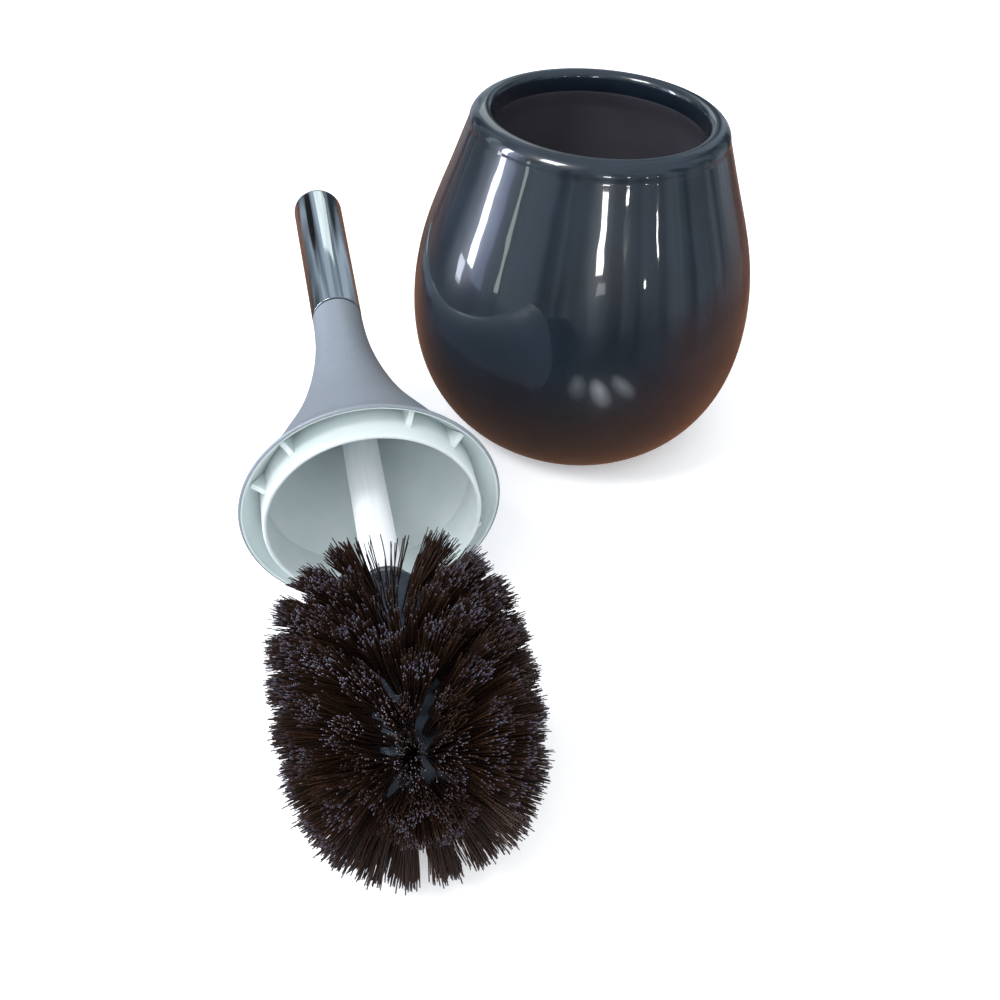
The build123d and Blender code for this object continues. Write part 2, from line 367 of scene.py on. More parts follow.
def nylon_bristle(look):
    """Drawn nylon filament, brown-black: satin along its length, with painted glints in spots on its
    cut ends.
    """
    material, tree, shader = surface("nylon_filament_brown_black", Roughness=0.34, IOR=1.53)
    along = add(tree, "ShaderNodeAttribute", attribute_name="along").outputs["Fac"]
    tint = add(tree, "ShaderNodeAttribute", attribute_name="tint").outputs["Fac"]
    body = blend_colour(tree, tint, look.bristle, look.bristle_warm)
    # Only the last few hundredths of the length count as the cut end, and there a painted glint
    # lightens them patchily.
    cut = spread(tree, along, 0, 1, 0.965, 0.985)
    glint_patches = spread(tree, grain(tree, 9), 0, 1, 0.4, 0.62)
    pale = add(tree, "ShaderNodeMath", {0: cut, 1: glint_patches}, operation="MULTIPLY").outputs[0]
    # The cut ends take a painted glint, a lavender grey.
    colour = blend_colour(tree, pale, body, look.bristle_tip_glint)
    tree.links.new(colour, shader.inputs["Base Color"])
    return material


def moulded_nylon(name, colour):
    """Small moulded nylon part: matt, with a fine grain."""
    material, tree, shader = surface(name, Roughness=0.5, IOR=1.53)
    shade = blend_colour(tree, spread(tree, grain(tree, 3), 0, 0.35), colour, "#000000")
    tree.links.new(shade, shader.inputs["Base Color"])
    relief(tree, shader, grain(tree, 0.6, 2), 0.02, 0.3)
    return material


# Painted sheens on the board: glowing spots that stand in for window reflections. Place in
# metres, once SHEEN_SQUEEZE has been applied, and strength. Squeezing the coordinates in Y
# makes each sheen longer that way.
PAINTED_SHEENS = (((0.002, -0.064, 0), 1.6), ((0.031, -0.058, 0), 4.0), ((0.065, -0.058, 0), 2.4))
SHEEN_SQUEEZE = (1, 0.4, 1)
SHEEN_RADIUS = 0.015


def fading_board():
    """Brown board with three glowing sheens that paint window reflections, a painted shadow darkening
    it in front, and fading out into the room.
    """
    material, tree, shader = surface("board_brown_glowing_sheens", Roughness=0.8)

    def measure(operation, *values, result="Value"):
        inputs = dict(enumerate(values))
        return add(tree, "ShaderNodeVectorMath", inputs, operation=operation).outputs[result]

    place = add(tree, "ShaderNodeTexCoord").outputs["Object"]
    toward_back = measure("DOT_PRODUCT", place, (0.6, 1, 0))
    warm = blend_colour(tree, spread(tree, grain(tree, 120), 0, 1), "#75452a", "#8f5d3e")
    # In front the board is a dark grey, a painted shadow of the floor in front of the pot.
    colour = blend_colour(tree, spread(tree, toward_back, 0, 1, -0.12, 0.02), "#2b2a2b", warm)
    tree.links.new(colour, shader.inputs["Base Color"])
    sheen = 0.0
    squeezed = measure("MULTIPLY", place, SHEEN_SQUEEZE, result="Vector")
    for spot, strength in PAINTED_SHEENS:
        glow = spread(tree, measure("DISTANCE", squeezed, spot), strength, 0, 0.0, SHEEN_RADIUS)
        sheen = add(tree, "ShaderNodeMath", {0: sheen, 1: glow}, operation="ADD").outputs[0]
    # The sheens glow by emission: painted reflections of windows, not lamps.
    shader.inputs["Emission Color"].default_value = linear("#dfe9f2")
    tree.links.new(sheen, shader.inputs["Emission Strength"])
    distance = measure("LENGTH", place)
    tree.links.new(spread(tree, distance, 1, 0, 0.15, 1.0), shader.inputs["Alpha"])
    return material


def dark_curtain():
    """Heavy black curtain, matt."""
    material, tree, shader = surface("curtain_black_matt", Roughness=1.0)
    colour = blend_colour(tree, grain(tree, 40), "#08090a", "#101214")
    tree.links.new(colour, shader.inputs["Base Color"])
    return material


def white_studio_floor():
    """Matt white studio floor, only just uneven."""
    material, tree, shader = surface("studio_floor_matt_white", Roughness=0.9, Emission_Strength=0.3)
    shader.inputs["Emission Color"].default_value = linear("#ffffff")
    colour = blend_colour(tree, grain(tree, 300), "#f5f5f5", "#fafafa")
    tree.links.new(colour, shader.inputs["Base Color"])
    return material


# --- settings --------------------------------------------------------------------------


class PotLook(bpy.types.PropertyGroup):
    """Colours of the pot."""

    glaze: bpy.props.StringProperty(name="Glaze", description="Glaze colour", default="#141e2a")
    glaze_deep: bpy.props.StringProperty(
        name="Deep Glaze", description="Glaze where it pools", default="#0d151e"
    )
    # Painted warm reflection of a brown floor, blended into the glaze near the foot.
    glaze_foot_reflection: bpy.props.StringProperty(
        name="Foot Reflection", description="Painted floor reflection near the foot", default="#33241b"
    )
    inside: bpy.props.StringProperty(
        name="Inside", description="Glaze inside the pot", default="#5c5a62"
    )
    inside_deep: bpy.props.StringProperty(
        name="Deep Inside", description="Where it pools", default="#535159"
    )


class BrushLook(bpy.types.PropertyGroup):
    """Colours of the lid, the stem, the handle and the head."""

    lid: bpy.props.StringProperty(name="Lid", description="Lacquer colour", default="#7f8a92")
    lid_flake: bpy.props.StringProperty(
        name="Lid Flake", description="Flake colour", default="#979ea7"
    )
    lid_inside: bpy.props.StringProperty(
        name="Lid Inside", description="Bare plastic", default="#cad5d6"
    )
    lid_inside_cloud: bpy.props.StringProperty(
        name="Lid Cloud", description="Cloudy areas", default="#d3dcdc"
    )
    stem: bpy.props.StringProperty(name="Stem", description="Stem colour", default="#f6f8fa")
    stem_shade: bpy.props.StringProperty(
        name="Stem Lines", description="Draw lines", default="#ebeff2"
    )
    chrome: bpy.props.StringProperty(name="Chrome", description="Plating colour", default="#dadfe2")
    hub: bpy.props.StringProperty(name="Hub", description="Head core colour", default="#2f353e")
    hub_light: bpy.props.StringProperty(
        name="Hub Light", description="Paler areas", default="#3b434e"
    )
    bristle: bpy.props.StringProperty(
        name="Bristle", description="Bristle colour", default="#1c1512"
    )
    bristle_warm: bpy.props.StringProperty(
        name="Warm Bristle", description="Browner bristles", default="#412b1f"
    )
    # Painted glint on the cut ends of the filaments.
    bristle_tip_glint: bpy.props.StringProperty(
        name="Tip Glint", description="Painted glint on the cut ends", default="#5f5c6c"
    )


class BristleSizes(bpy.types.PropertyGroup):
    """Sizes of the tufts."""

    filaments: bpy.props.IntProperty(
        name="Filaments", description="In one tuft", default=110, min=4
    )
    thickness: bpy.props.FloatProperty(
        name="Thickness",
        description="Filament diameter",
        default=0.46 * MM,
        unit="LENGTH",
        precision=5,
    )
    splay: bpy.props.FloatProperty(
        name="Splay", description="Spread around the head, per length", default=0.155
    )
    splay_along: bpy.props.FloatProperty(
        name="Splay Along", description="Spread along the head", default=0.12
    )
    curl: bpy.props.FloatProperty(
        name="Curl", description="Sideways drift of a tip, per length", default=0.06
    )
    uneven: bpy.props.FloatProperty(
        name="Uneven", description="How much shorter some filaments are", default=0.08
    )
    seed: bpy.props.IntProperty(name="Seed", description="Pattern of the filaments", default=7)


class StageLook(bpy.types.PropertyGroup):
    """Light and view."""

    camera_place: bpy.props.FloatVectorProperty(
        name="Camera",
        description="Camera position",
        default=(-0.025, -0.4178, 0.2901),
        subtype="TRANSLATION",
    )
    camera_dip: bpy.props.FloatProperty(
        name="Dip",
        description="How far the camera looks down",
        default=radians(39.22),
        subtype="ANGLE",
    )
    camera_roll: bpy.props.FloatProperty(
        name="Roll",
        description="How far the camera leans",
        default=radians(4.53),
        subtype="ANGLE",
    )
    lens: bpy.props.FloatProperty(
        name="Lens", description="Focal length in millimetres", default=43.2
    )
    room: bpy.props.FloatProperty(
        name="Room", description="Brightness of the surroundings", default=1.0
    )
    key: bpy.props.FloatProperty(name="Key", description="Power of the main lamp", default=11.0)


# --- pieces ----------------------------------------------------------------------------


def settle(piece, body, slot, *nodes):
    """Let a finished piece ride on its body and stand for its CAD nodes; the slot is not used."""
    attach(piece, body)
    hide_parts(*nodes)


def dress(node, material):
    """Give a CAD node that stays its finished material."""
    mesh = frame["nodes"][node].data
    mesh.materials.clear()
    mesh.materials.append(material)


class MakePot(bpy.types.Operator):
    """Make the glazed pot"""

    bl_idname = "toilet_brush.pot"
    bl_label = "Pot"

    def execute(self, context):
        lip = arc((LIP_MIDDLE, POT_HEIGHT - LIP_ROUND), LIP_ROUND, 0, 90, 12)
        lip += arc((LIP_MIDDLE, POT_HEIGHT - LIP_INNER_ROUND), LIP_INNER_ROUND, 90, 180, 8)[1:]
        outline = [(0, 0), (POT_FOOT - FOOT_BAND, 0)]
        outline += flow(POT_OUTSIDE, (0.84, 0.54), (-0.33, 0.94), 18)[:-1]
        outline += lip
        first_inner = len(outline)
        outline += flow(POT_INSIDE, (0.5, -0.86), (-1, 0), 14)
        look = context.scene.pot_look
        outer = dark_gloss_glaze(
            "stoneware_dark_gloss_glaze", look.glaze, look.glaze_deep, look.glaze_foot_reflection
        )
        inner = dark_gloss_glaze("stoneware_glaze_inside", look.inside, look.inside_deep, look.inside)

        def glaze_of(band):
            return int(band >= first_inner)

        pot = spin("glazed_pot", outline, [outer, inner], steps=192, paint=glaze_of, crease=60)
        settle(pot, "pot", "pot_glaze", "pot_body")
        return {"FINISHED"}


class MakeLid(bpy.types.Operator):
    """Make the trumpet-shaped lid"""

    bl_idname = "toilet_brush.lid"
    bl_label = "Lid"

    def execute(self, context):
        look = context.scene.brush_look
        outside = flow(LID_OUTSIDE, (-0.45, 0.89), (0, 1), 16)
        corner = (LID_TOP_RADIUS - LID_TOP_ROUND, LID_TOP - LID_TOP_ROUND)
        top = arc(corner, LID_TOP_ROUND, 0, 90, 4)
        top += [(STEM_BORE, LID_TOP), (STEM_BORE, STEM_TOP)]
        top += [(STEM_RADIUS, STEM_TOP), (STEM_RADIUS, SOCKET_MOUTH)]
        inside = flow(LID_INSIDE, (0.14, -0.99), (0.5, -0.86), 12)
        rim = arc((RIM_MIDDLE, LID_OUTSIDE[0][1]), RIM_ROUND, 180, 360, 8)[1:-1]
        outline = outside + top + inside + rim
        # Bare plastic runs from the end of the neck to the lowest line of the rim.
        first_bare = len(outside) + len(top) - 1
        first_lacquered = len(outline) - len(rim) // 2 - 1

        def finish_of(band):
            return int(first_bare <= band < first_lacquered)

        finishes = [pearl_lacquer(look), moulded_abs(look)]
        lid = spin("trumpet_lid", outline, finishes, BRUSH, 160, finish_of)
        settle(lid, "brush", "lid_silver", "lid_shell")
        return {"FINISHED"}


class MakeLidRing(bpy.types.Operator):
    """Make the locating ring inside the lid and finish its gussets"""

    bl_idname = "toilet_brush.lid_ring"
    bl_label = "Lid Ring"

    def execute(self, context):
        plastic = bpy.data.materials["abs_moulded_pale_grey"]
        outline = arc((RING_MIDDLE, -RING_DROP), RING_ROUND, 180, 360, 8)
        outline.append((RING_MIDDLE + RING_ROUND, RING_OUTER_TOP))
        outline.append((RING_MIDDLE - RING_ROUND, RING_INNER_TOP))
        ring = spin("lid_locating_ring", outline, [plastic], BRUSH, 160)
        settle(ring, "brush", "lid_inner", "lid_ring")
        dress("lid_ribs", plastic)
        return {"FINISHED"}


class MakeStem(bpy.types.Operator):
    """Make the stem"""

    bl_idname = "toilet_brush.stem"
    bl_label = "Stem"

    def execute(self, context):
        white = white_polypropylene(context.scene.brush_look)
        corner = (STEM_RADIUS - STEM_ROUND, STEM_BOTTOM + STEM_ROUND)
        outline = arc(corner, STEM_ROUND, -90, 0, 5)
        outline += [(STEM_RADIUS, STEM_MIDDLE), (STEM_RADIUS, STEM_TOP)]
        outline += [(STEM_BORE, STEM_TOP), (STEM_BORE, STEM_BOTTOM)]
        stem = spin("stem_tube_drawn", outline, [white], BRUSH, 64)
        settle(stem, "brush", "stem_white", "stem_tube")
        dress("stem_stud", white)
        dress("stem_spigot", white)
        return {"FINISHED"}


class MakeHandle(bpy.types.Operator):
    """Make the chromed handle"""

    bl_idname = "toilet_brush.handle"
    bl_label = "Handle"

    def execute(self, context):
        top = HANDLE_SHOULDER + HANDLE_END_ROUND
        corner = (HANDLE_END_MIDDLE, HANDLE_SHOULDER)
        inside = [(0, top - HANDLE_WALL)]
        inside += arc(corner, HANDLE_END_ROUND - HANDLE_WALL, 90, 0, 8)
        inside += [(HANDLE_FOOT_RADIUS - HANDLE_WALL, HANDLE_BOTTOM)]
        foot = (HANDLE_FOOT_RADIUS - HANDLE_FOOT_ROUND, HANDLE_BOTTOM + HANDLE_FOOT_ROUND)
        edge = arc(foot, HANDLE_FOOT_ROUND, -90, 0, 3)
        outside = arc(corner, HANDLE_END_ROUND, 0, 90, 14)
        outside += [(HANDLE_END_MIDDLE / 2, top), (0, top)]
        chrome = chrome_plate(context.scene.brush_look)
        handle = spin("chrome_handle", inside + edge + outside, [chrome], BRUSH, 96)
        settle(handle, "handle", "handle_chrome", "handle_sleeve")
        return {"FINISHED"}


class MakeHub(bpy.types.Operator):
    """Make the core of the brush head"""

    bl_idname = "toilet_brush.hub"
    bl_label = "Head Core"

    def execute(self, context):
        edge = (HUB_TOP_RADIUS, HUB_TOP - HUB_TOP_ROUND)
        slope = flow([edge, (HUB_RADIUS, HUB_SHOULDER)], (0.25, -0.97), (0, -1), 8)
        outline = [(0, HUB_TOP)]
        outline += arc((edge[0] - HUB_TOP_ROUND, edge[1]), HUB_TOP_ROUND, 90, 0, 6)
        outline += slope[1:]
        outline += [(HUB_RADIUS, -60.0), (HUB_RADIUS, -80.0)]
        corner = (HUB_RADIUS - HUB_END_ROUND, HUB_END + HUB_END_ROUND)
        outline += arc(corner, HUB_END_ROUND, 0, -90, 14)
        outline += [(0, HUB_END)]
        slate = slate_polypropylene(context.scene.brush_look)
        hub = spin("head_core", outline, [slate], BRUSH, 96)
        settle(hub, "head", "hub_slate", "head_hub")
        return {"FINISHED"}


# Rows of tufts: depth of the roots below the lid's rim, root radius, tilt away from the
# lid in degrees, and the radius that the tips reach.
TUFT_ROWS = [
    (42.0, 11.5, -16.0, 26.0),
    (49.0, 11.5, -6.0, 35.0),
    (56.0, 11.5, -1.0, 37.8),
    (63.0, 11.5, 0.0, 38.2),
    (70.0, 11.5, 0.0, 38.2),
    (77.0, 11.5, 0.0, 38.2),
    (84.0, 11.5, 2.0, 38.0),
    (91.0, 11.5, 8.0, 36.8),
    (97.5, 11.5, 20.0, 34.8),
    (103.5, 10.4, 36.0, 29.5),
]
CROWN_ROW = (107.4, 4.6, 66.0, 10.5)
TUFTS = 14
CROWN_TUFTS = 7
ROW_PHASE = -103.0

# A tuft grows from a hole in the core, and TIP_SHORT leaves its filaments room to curl.
ROOT_SINK = 0.5
ROOT_HOLE = 1.3
TIP_SHORT = 1.0

# The worn rows, by number: how far a tuft may be from the top line to be worn down, in
# degrees, and the share of its filaments that are left in such a tuft and in the others.
WORN_ROWS = {
    0: (20, 0.05, 0.45),
    1: (20, 0.05, 0.75),
    2: (14, 0.05, 1.0),
    3: (14, 0.05, 1.0),
    4: (14, 0.3, 1.0),
    5: (14, 0.3, 1.0),
}

# At the end of the head the filaments spread further, to close it.
CROWN_SPLAY = 1.8
END_SPLAY_ALONG = 2.8


def bristle_tree(material):
    """Geometry Nodes: each point becomes a tuft of curved, tapering filaments."""
    tree = bpy.data.node_groups.new("tuft_of_filaments", "GeometryNodeTree")
    for name, kind in (
        ("Geometry", "NodeSocketGeometry"),
        ("Filaments", "NodeSocketInt"),
        ("Thickness", "NodeSocketFloat"),
        ("Splay", "NodeSocketFloat"),
        ("Splay Along", "NodeSocketFloat"),
        ("Curl", "NodeSocketFloat"),
        ("Uneven", "NodeSocketFloat"),
        ("Seed", "NodeSocketInt"),
    ):
        tree.interface.new_socket(name=name, in_out="INPUT", socket_type=kind)
    tree.interface.new_socket(name="Geometry", in_out="OUTPUT", socket_type="NodeSocketGeometry")
    given = add(tree, "NodeGroupInput").outputs

    def read(name, kind="FLOAT"):
        node = add(tree, "GeometryNodeInputNamedAttribute", {"Name": name}, data_type=kind)
        return node.outputs["Attribute"]

    def maths(operation, *values):
        return add(tree, "ShaderNodeMath", dict(enumerate(values)), operation=operation).outputs[0]

    def vectors(operation, *values):
        inputs = dict(enumerate(values))
        return add(tree, "ShaderNodeVectorMath", inputs, operation=operation).outputs[0]

    def scaled(vector, amount):
        inputs = {0: vector, "Scale": amount}
        return add(tree, "ShaderNodeVectorMath", inputs, operation="SCALE").outputs[0]

    def chance(offset, low, high, kind="FLOAT"):
        seed = maths("ADD", given["Seed"], offset)
        node = add(tree, "FunctionNodeRandomValue", {"Seed": seed}, data_type=kind)
        first = 0 if kind == "FLOAT_VECTOR" else 2
        node.inputs[first].default_value = low
        node.inputs[first + 1].default_value = high
        return node.outputs["Value" if kind == "FLOAT_VECTOR" else 1]

    def store(geometry, name, value, kind="FLOAT"):
        return add(
            tree,
            "GeometryNodeStoreNamedAttribute",
            {"Geometry": geometry, "Name": name, "Value": value},
            data_type=kind,
            domain="POINT",
        ).outputs["Geometry"]

    amount = maths("MULTIPLY", given["Filaments"], read("fullness"))
    points = add(
        tree,
        "GeometryNodeDuplicateElements",
        {"Geometry": given["Geometry"], "Amount": amount},
        domain="POINT",
    ).outputs["Geometry"]

    # Where in its tuft each filament stands decides which way it leans.
    angle = chance(1, 0.0, 2 * pi)
    distance = maths("SQRT", chance(2, 0.0, 1.0))
    aim, side = read("aim", "FLOAT_VECTOR"), read("side", "FLOAT_VECTOR")
    across = vectors("CROSS_PRODUCT", aim, side)
    along_share = maths("MULTIPLY", distance, maths("COSINE", angle))
    across_share = maths("MULTIPLY", distance, maths("SINE", angle))
    lean = vectors(
        "ADD",
        scaled(side, maths("MULTIPLY", along_share, given["Splay Along"])),
        scaled(across, maths("MULTIPLY", across_share, given["Splay"])),
    )
    way = vectors("NORMALIZE", vectors("ADD", aim, lean))
    root = vectors("ADD", scaled(side, along_share), scaled(across, across_share))
    hole = add(tree, "GeometryNodeInputPosition").outputs[0]
    root = vectors("ADD", hole, scaled(root, ROOT_HOLE * MM))
    # Most filaments are nearly full length, and a few are clearly shorter.
    missing = maths("MULTIPLY", given["Uneven"], maths("POWER", chance(4, 0.0, 1.0), 2.0))
    length = maths("MULTIPLY", read("reach"), maths("SUBTRACT", 1.0, missing))
    points = store(points, "way", way, "FLOAT_VECTOR")
    points = store(points, "root", root, "FLOAT_VECTOR")
    points = store(points, "length", length)
    for offset, name in ((5, "bend"), (6, "kink")):
        aside = chance(offset, (-1, -1, -1), (1, 1, 1), "FLOAT_VECTOR")
        points = store(points, name, aside, "FLOAT_VECTOR")
    points = store(points, "tint", chance(7, 0.0, 1.0))

    # Every filament is a line that is then laid from its root along its way, drifting aside.
    line = add(tree, "GeometryNodeCurvePrimitiveLine").outputs["Curve"]
    line = add(tree, "GeometryNodeResampleCurve", {"Curve": line, "Count": 6}).outputs["Curve"]
    inputs = {"Points": points, "Instance": line}
    rods = add(tree, "GeometryNodeInstanceOnPoints", inputs).outputs["Instances"]
    rods = add(tree, "GeometryNodeRealizeInstances", {"Geometry": rods}).outputs["Geometry"]
    run = add(tree, "GeometryNodeSplineParameter").outputs["Factor"]
    rods = store(rods, "along", run)
    straight = scaled(read("way", "FLOAT_VECTOR"), maths("MULTIPLY", read("length"), run))
    # The drift grows with the square of the way along, and a small ripple rides on it.
    furthest = maths("MULTIPLY", read("length"), given["Curl"])
    drift = maths("MULTIPLY", furthest, maths("MULTIPLY", run, run))
    ripple = maths("SINE", maths("MULTIPLY", run, 8.0))
    wave = maths("MULTIPLY", ripple, maths("MULTIPLY", drift, 0.35))
    bend = scaled(read("bend", "FLOAT_VECTOR"), drift)
    shape = vectors("ADD", bend, scaled(read("kink", "FLOAT_VECTOR"), wave))
    place = vectors("ADD", read("root", "FLOAT_VECTOR"), vectors("ADD", straight, shape))
    inputs = {"Geometry": rods, "Position": place}
    rods = add(tree, "GeometryNodeSetPosition", inputs).outputs["Geometry"]
    # The filament narrows by about a quarter towards its cut end.
    narrowing = maths("SUBTRACT", 0.5, maths("MULTIPLY", run, 0.12))
    radius = maths("MULTIPLY", given["Thickness"], narrowing)
    circle = {"Resolution": 4, "Radius": 1.0}
    section = add(tree, "GeometryNodeCurvePrimitiveCircle", circle).outputs["Curve"]
    skin = add(
        tree,
        "GeometryNodeCurveToMesh",
        {"Curve": rods, "Profile Curve": section, "Scale": radius, "Fill Caps": True},
    ).outputs["Mesh"]
    skin = add(tree, "GeometryNodeRealizeInstances", {"Geometry": skin}).outputs["Geometry"]
    dressed = add(tree, "GeometryNodeSetMaterial", {"Geometry": skin, "Material": material})
    add(tree, "NodeGroupOutput", {"Geometry": dressed.outputs["Geometry"]})
    return tree


def filaments_left(number, angle):
    """Share of its filaments that a tuft still has, in a row, at an angle in degrees."""
    from_top = abs((angle + 270.0) % 360.0 - 180.0)
    reach, worn, others = WORN_ROWS.get(number, (0, 1.0, 1.0))
    return worn if from_top < reach else others


def tuft_points(name, number, row, count, phase):
    """A mesh with one point for each tuft of a row, with its direction, length and fullness."""
    depth, root_radius, tilt, tip_radius = row
    lean = radians(tilt)
    turn = BRUSH.to_3x3()
    mesh = bpy.data.meshes.new(name)
    mesh.from_pydata([(0, 0, 0)] * count, [], [])
    kinds = {"aim": "FLOAT_VECTOR", "side": "FLOAT_VECTOR", "reach": "FLOAT", "fullness": "FLOAT"}
    for label, kind in kinds.items():
        mesh.attributes.new(label, kind, "POINT")
    aim, side, reach, fullness = (mesh.attributes[label].data for label in kinds)
    for i in range(count):
        angle = phase + 360.0 * i / count
        out = Vector((cos(radians(angle)), sin(radians(angle)), 0))
        way = out * cos(lean) + Vector((0, 0, -sin(lean)))
        root = out * root_radius - Vector((0, 0, depth)) - way * ROOT_SINK
        mesh.vertices[i].co = BRUSH @ (root * MM)
        aim[i].vector = turn @ way
        side[i].vector = turn @ (out * sin(lean) + Vector((0, 0, cos(lean))))
        reach[i].value = (tip_radius - root_radius - TIP_SHORT) / cos(lean) * MM
        fullness[i].value = filaments_left(number, angle)
    return plain_object(name, mesh)


class MakeBristles(bpy.types.Operator):
    """Make every row of tufts from filaments"""

    bl_idname = "toilet_brush.bristles"
    bl_label = "Bristles"

    def execute(self, context):
        sizes = context.scene.bristle_sizes
        nylon = nylon_bristle(context.scene.brush_look)
        tree = bristle_tree(nylon)
        sockets = {s.name: s.identifier for s in tree.interface.items_tree if s.in_out == "INPUT"}
        rows = [(f"tufts_row_{i:02d}", row, TUFTS) for i, row in enumerate(TUFT_ROWS, start=1)]
        rows.append(("tufts_crown", CROWN_ROW, CROWN_TUFTS))
        last = len(TUFT_ROWS) - 1
        for number, (node, row, count) in enumerate(rows):
            # Every second row is turned by half a step; the last row lines up with the one before.
            turned = number % 2 == 1 and number < last
            phase = ROW_PHASE + (180.0 / TUFTS if turned else 0)
            source = tuft_points(node + "_points", number, row, count, phase)
            modifier = source.modifiers.new("filaments", "NODES")
            modifier.node_group = tree
            for label, value in (
                ("Filaments", sizes.filaments),
                ("Thickness", sizes.thickness),
                ("Splay", sizes.splay * (CROWN_SPLAY if number > last else 1.0)),
                ("Splay Along", sizes.splay_along * (END_SPLAY_ALONG if number >= last else 1.0)),
                ("Curl", sizes.curl),
                ("Uneven", sizes.uneven),
                ("Seed", sizes.seed + 20 * number),
            ):
                modifier[sockets[label]] = value
            ready = source.evaluated_get(context.evaluated_depsgraph_get())
            mesh = bpy.data.meshes.new_from_object(ready)
            bpy.data.objects.remove(source)
            if len(mesh.polygons) < count * 100:
                raise RuntimeError(f"{node} has only {len(mesh.polygons)} faces")
            mesh.shade_smooth()
            piece = plain_object(node.replace("tufts", "bristles"), mesh)
            settle(piece, "head", "bristle_dark", node)
        return {"FINISHED"}


class DressSmallParts(bpy.types.Operator):
    """Finish the washers, the plug and the nut, which keep their CAD shape"""

    bl_idname = "toilet_brush.small_parts"
    bl_label = "Small Parts"

    def execute(self, context):
        washer = moulded_nylon("nylon_washer_moulded", "#43474b")
        black = moulded_nylon("nylon_black_moulded", "#1d1f22")
        for node, material in (
            ("handle_seal", washer),
            ("head_seal", washer),
            ("handle_plug", black),
            ("head_nut", black),
        ):
            dress(node, material)
        return {"FINISHED"}


# --- stage -----------------------------------------------------------------------------


def lamp(name, place, target, size, power, colour="#ffffff"):
    """A rectangular lamp at a place in metres, facing a target."""
    light = bpy.data.lights.new(name, "AREA")
    light.shape = "RECTANGLE"
    light.size, light.size_y = size
    light.energy = power
    light.color = linear(colour)[:3]
    lamp_object = bpy.data.objects.new(name, light)
    lamp_object.location = place
    lamp_object.rotation_euler = (Vector(place) - Vector(target)).to_track_quat("Z", "Y").to_euler()
    bpy.context.scene.collection.objects.link(lamp_object)
    return lamp_object


def towards(azimuth, elevation, distance, start=(0, 0, 0.1)):
    """A point seen from start at an azimuth (0 is +Y, 90 is +X) and elevation in degrees."""
    a, e = radians(azimuth), radians(elevation)
    return Vector(start) + distance * Vector((sin(a) * cos(e), cos(a) * cos(e), sin(e)))


def make_room(strength):
    """Even white surroundings; in reflections they are a dim room with a paler ceiling."""
    world = bpy.data.worlds.new("studio")
    bpy.context.scene.world = world
    world.use_nodes = True
    tree = world.node_tree
    tree.nodes.clear()
    path = add(tree, "ShaderNodeLightPath").outputs
    way = add(tree, "ShaderNodeTexCoord").outputs["Generated"]
    height = add(tree, "ShaderNodeSeparateXYZ", {0: way}).outputs["Z"]
    upright = add(tree, "ShaderNodeMapping", {"Vector": way, "Scale": (1, 1, 0.12)}).outputs[0]
    bands = add(tree, "ShaderNodeTexNoise", {"Vector": upright, "Scale": 4.0}).outputs["Fac"]
    wall = blend_colour(tree, spread(tree, bands, 0, 1, 0.4, 0.6), "#2f363d", "#a9b8c6")
    room = blend_colour(tree, spread(tree, height, 0, 1, 0.45, 1.0), wall, "#aab9c8")

    def background(colour, amount):
        return add(tree, "ShaderNodeBackground", {"Color": colour, "Strength": amount}).outputs[0]

    def choose(ray, otherwise, then):
        return add(tree, "ShaderNodeMixShader", {0: path[ray], 1: otherwise, 2: then}).outputs[0]

    dim = background(room, 1.0)
    fill = background(linear("#f4f7fb"), strength)
    seen = background(linear("#ffffff"), 1.1)
    mixed = choose("Is Camera Ray", choose("Is Glossy Ray", fill, dim), seen)
    add(tree, "ShaderNodeOutputWorld", {"Surface": mixed})


def stage_disc(name, radius, height, material):
    """A flat round stage surface that isn't part of the object."""
    shape = bmesh.new()
    bmesh.ops.create_circle(shape, cap_ends=True, radius=radius, segments=64)
    mesh = bpy.data.meshes.new(name)
    shape.to_mesh(mesh)
    shape.free()
    mesh.transform(Matrix.Translation((0, 0, height)))
    mesh.materials.append(material)
    disc = plain_object(name, mesh)
    return disc


def only_in_reflections(piece):
    """Hide a stage surface from everything but reflections."""
    piece.visible_camera = False
    piece.visible_diffuse = False
    piece.visible_shadow = False


# Windows in the reflections. To the left: name, place in metres, size, power and colour.
LEFT_WINDOWS = (
    ("left_window", (-0.6, -0.08, 0.235), (0.07, 0.36), 1.7, "#e6eeff"),
    ("left_window_low", (-0.6, -0.01, 0.02), (0.06, 0.07), 0.11, "#e6eeff"),
    ("left_window_haze", (-0.58, -0.17, 0.24), (0.12, 0.44), 0.2, "#b4c4ff"),
    ("left_window_thin", (-0.55, -0.34, 0.16), (0.03, 0.2), 0.08, "#e0f0e8"),
    ("left_window_back", (-0.6, 0.16, 0.3), (0.08, 0.36), 0.1, "#c8e4dc"),
)
# In front and to the right: name, azimuth and elevation in degrees, size and power.
FRONT_WINDOWS = (
    ("front_window", 172.5, 12.4, (0.17, 0.12), 1.8),
    ("front_window_low", 170.0, 7.5, (0.2, 0.1), 0.15),
    ("front_window_side", 154.7, 12.6, (0.08, 0.06), 0.6),
    ("right_window_upper", 130.4, 8.4, (0.035, 0.05), 0.2),
    ("right_window_lower", 140.0, 6.6, (0.04, 0.04), 0.2),
)
FRONT_WINDOW_DISTANCE = 2.0

# Points in metres that lamps are aimed at.
POT_MIDDLE = (0, 0, 0.1)
HANDLE_MIDDLE = (-0.1, 0.03, 0.05)
STAGE_MIDDLE = (-0.03, -0.08, 0.05)
LID_MOUTH = (-0.06, -0.12, 0.04)


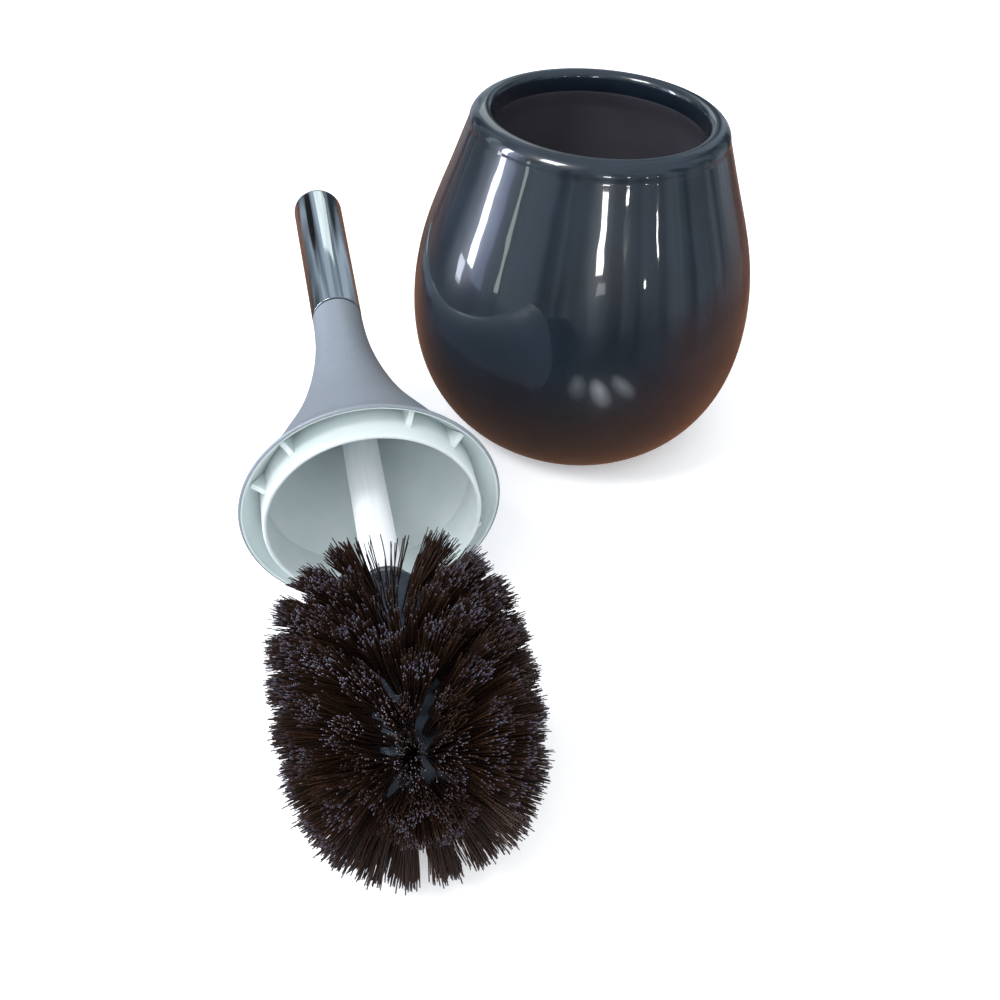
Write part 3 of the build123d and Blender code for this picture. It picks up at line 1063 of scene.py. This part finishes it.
class MakeStage(bpy.types.Operator):
    """Make the floor, the surroundings, the lamps and the camera"""

    bl_idname = "toilet_brush.stage"
    bl_label = "Stage"

    def execute(self, context):
        look = context.scene.stage_look
        floor = stage_disc("studio_floor", 4.0, -0.0002, white_studio_floor())
        floor.visible_glossy = False
        # Reflections see a warm board instead of the white floor, as on a brown table.
        board = stage_disc("reflection_board", 1.2, -0.0004, fading_board())
        only_in_reflections(board)
        # The chrome reflects a dark curtain behind it, to one side of the back window.
        curtain = stage_disc("black_curtain", 0.11, 0, dark_curtain())
        facing = towards(-40, 21, 1.0, (0, 0, 0)).to_track_quat("Z", "Y").to_matrix().to_4x4()
        curtain.matrix_world = Matrix.Translation(towards(-40, 21, 0.8, HANDLE_MIDDLE)) @ facing
        only_in_reflections(curtain)
        make_room(look.room)
        back = towards(-9, 33, 1.3, HANDLE_MIDDLE)
        lamp("back_window", back, HANDLE_MIDDLE, (0.5, 0.4), 0.55, "#eef6f0")
        lamp("key_lamp", towards(-132, 47, 1.6), STAGE_MIDDLE, (0.45, 0.45), look.key)
        for name, place, size, power, colour in LEFT_WINDOWS:
            lamp(name, place, POT_MIDDLE, size, power, colour)
        # A soft lamp over the viewer's shoulder lights the inside of the lid.
        shoulder = lamp("shoulder_lamp", towards(188, 40, 1.4), LID_MOUTH, (0.6, 0.6), 3.6)
        shoulder.visible_glossy = False
        for name, azimuth, elevation, size, power in FRONT_WINDOWS:
            place = towards(azimuth, elevation, FRONT_WINDOW_DISTANCE)
            lamp(name, place, POT_MIDDLE, size, power)
        camera = bpy.data.objects.new("camera", bpy.data.cameras.new("camera"))
        camera.data.lens = look.lens
        camera.data.sensor_width = 36.0
        tilt = Euler((pi / 2 - look.camera_dip, 0, 0)).to_matrix()
        view = tilt @ Euler((0, 0, look.camera_roll)).to_matrix()
        camera.matrix_world = Matrix.Translation(look.camera_place) @ view.to_4x4()
        context.scene.collection.objects.link(camera)
        context.scene.camera = camera
        context.scene.view_settings.view_transform = "Standard"
        return {"FINISHED"}


# --- add-on ----------------------------------------------------------------------------

OPERATORS = (
    MakePot,
    MakeLid,
    MakeLidRing,
    MakeStem,
    MakeHandle,
    MakeHub,
    MakeBristles,
    DressSmallParts,
    MakeStage,
)
SETTINGS = {
    "pot_look": PotLook,
    "brush_look": BrushLook,
    "bristle_sizes": BristleSizes,
    "stage_look": StageLook,
}


class BrushPanel(bpy.types.Panel):
    """Buttons for every piece"""

    bl_idname = "VIEW3D_PT_toilet_brush"
    bl_label = "Toilet Brush"
    bl_space_type = "VIEW_3D"
    bl_region_type = "UI"
    bl_category = "Brush"

    def draw(self, context):
        for operator in OPERATORS:
            self.layout.operator(operator.bl_idname)


def register():
    for kind in (*SETTINGS.values(), *OPERATORS, BrushPanel):
        bpy.utils.register_class(kind)
    for name, kind in SETTINGS.items():
        setattr(bpy.types.Scene, name, bpy.props.PointerProperty(type=kind))


def unregister():
    for name in SETTINGS:
        delattr(bpy.types.Scene, name)
    for kind in (BrushPanel, *reversed(OPERATORS), *reversed(SETTINGS.values())):
        bpy.utils.unregister_class(kind)


def main():
    register()
    for operator in OPERATORS:
        group, name = operator.bl_idname.split(".")
        getattr(getattr(bpy.ops, group), name)()


if __name__ == "__main__":
    main()
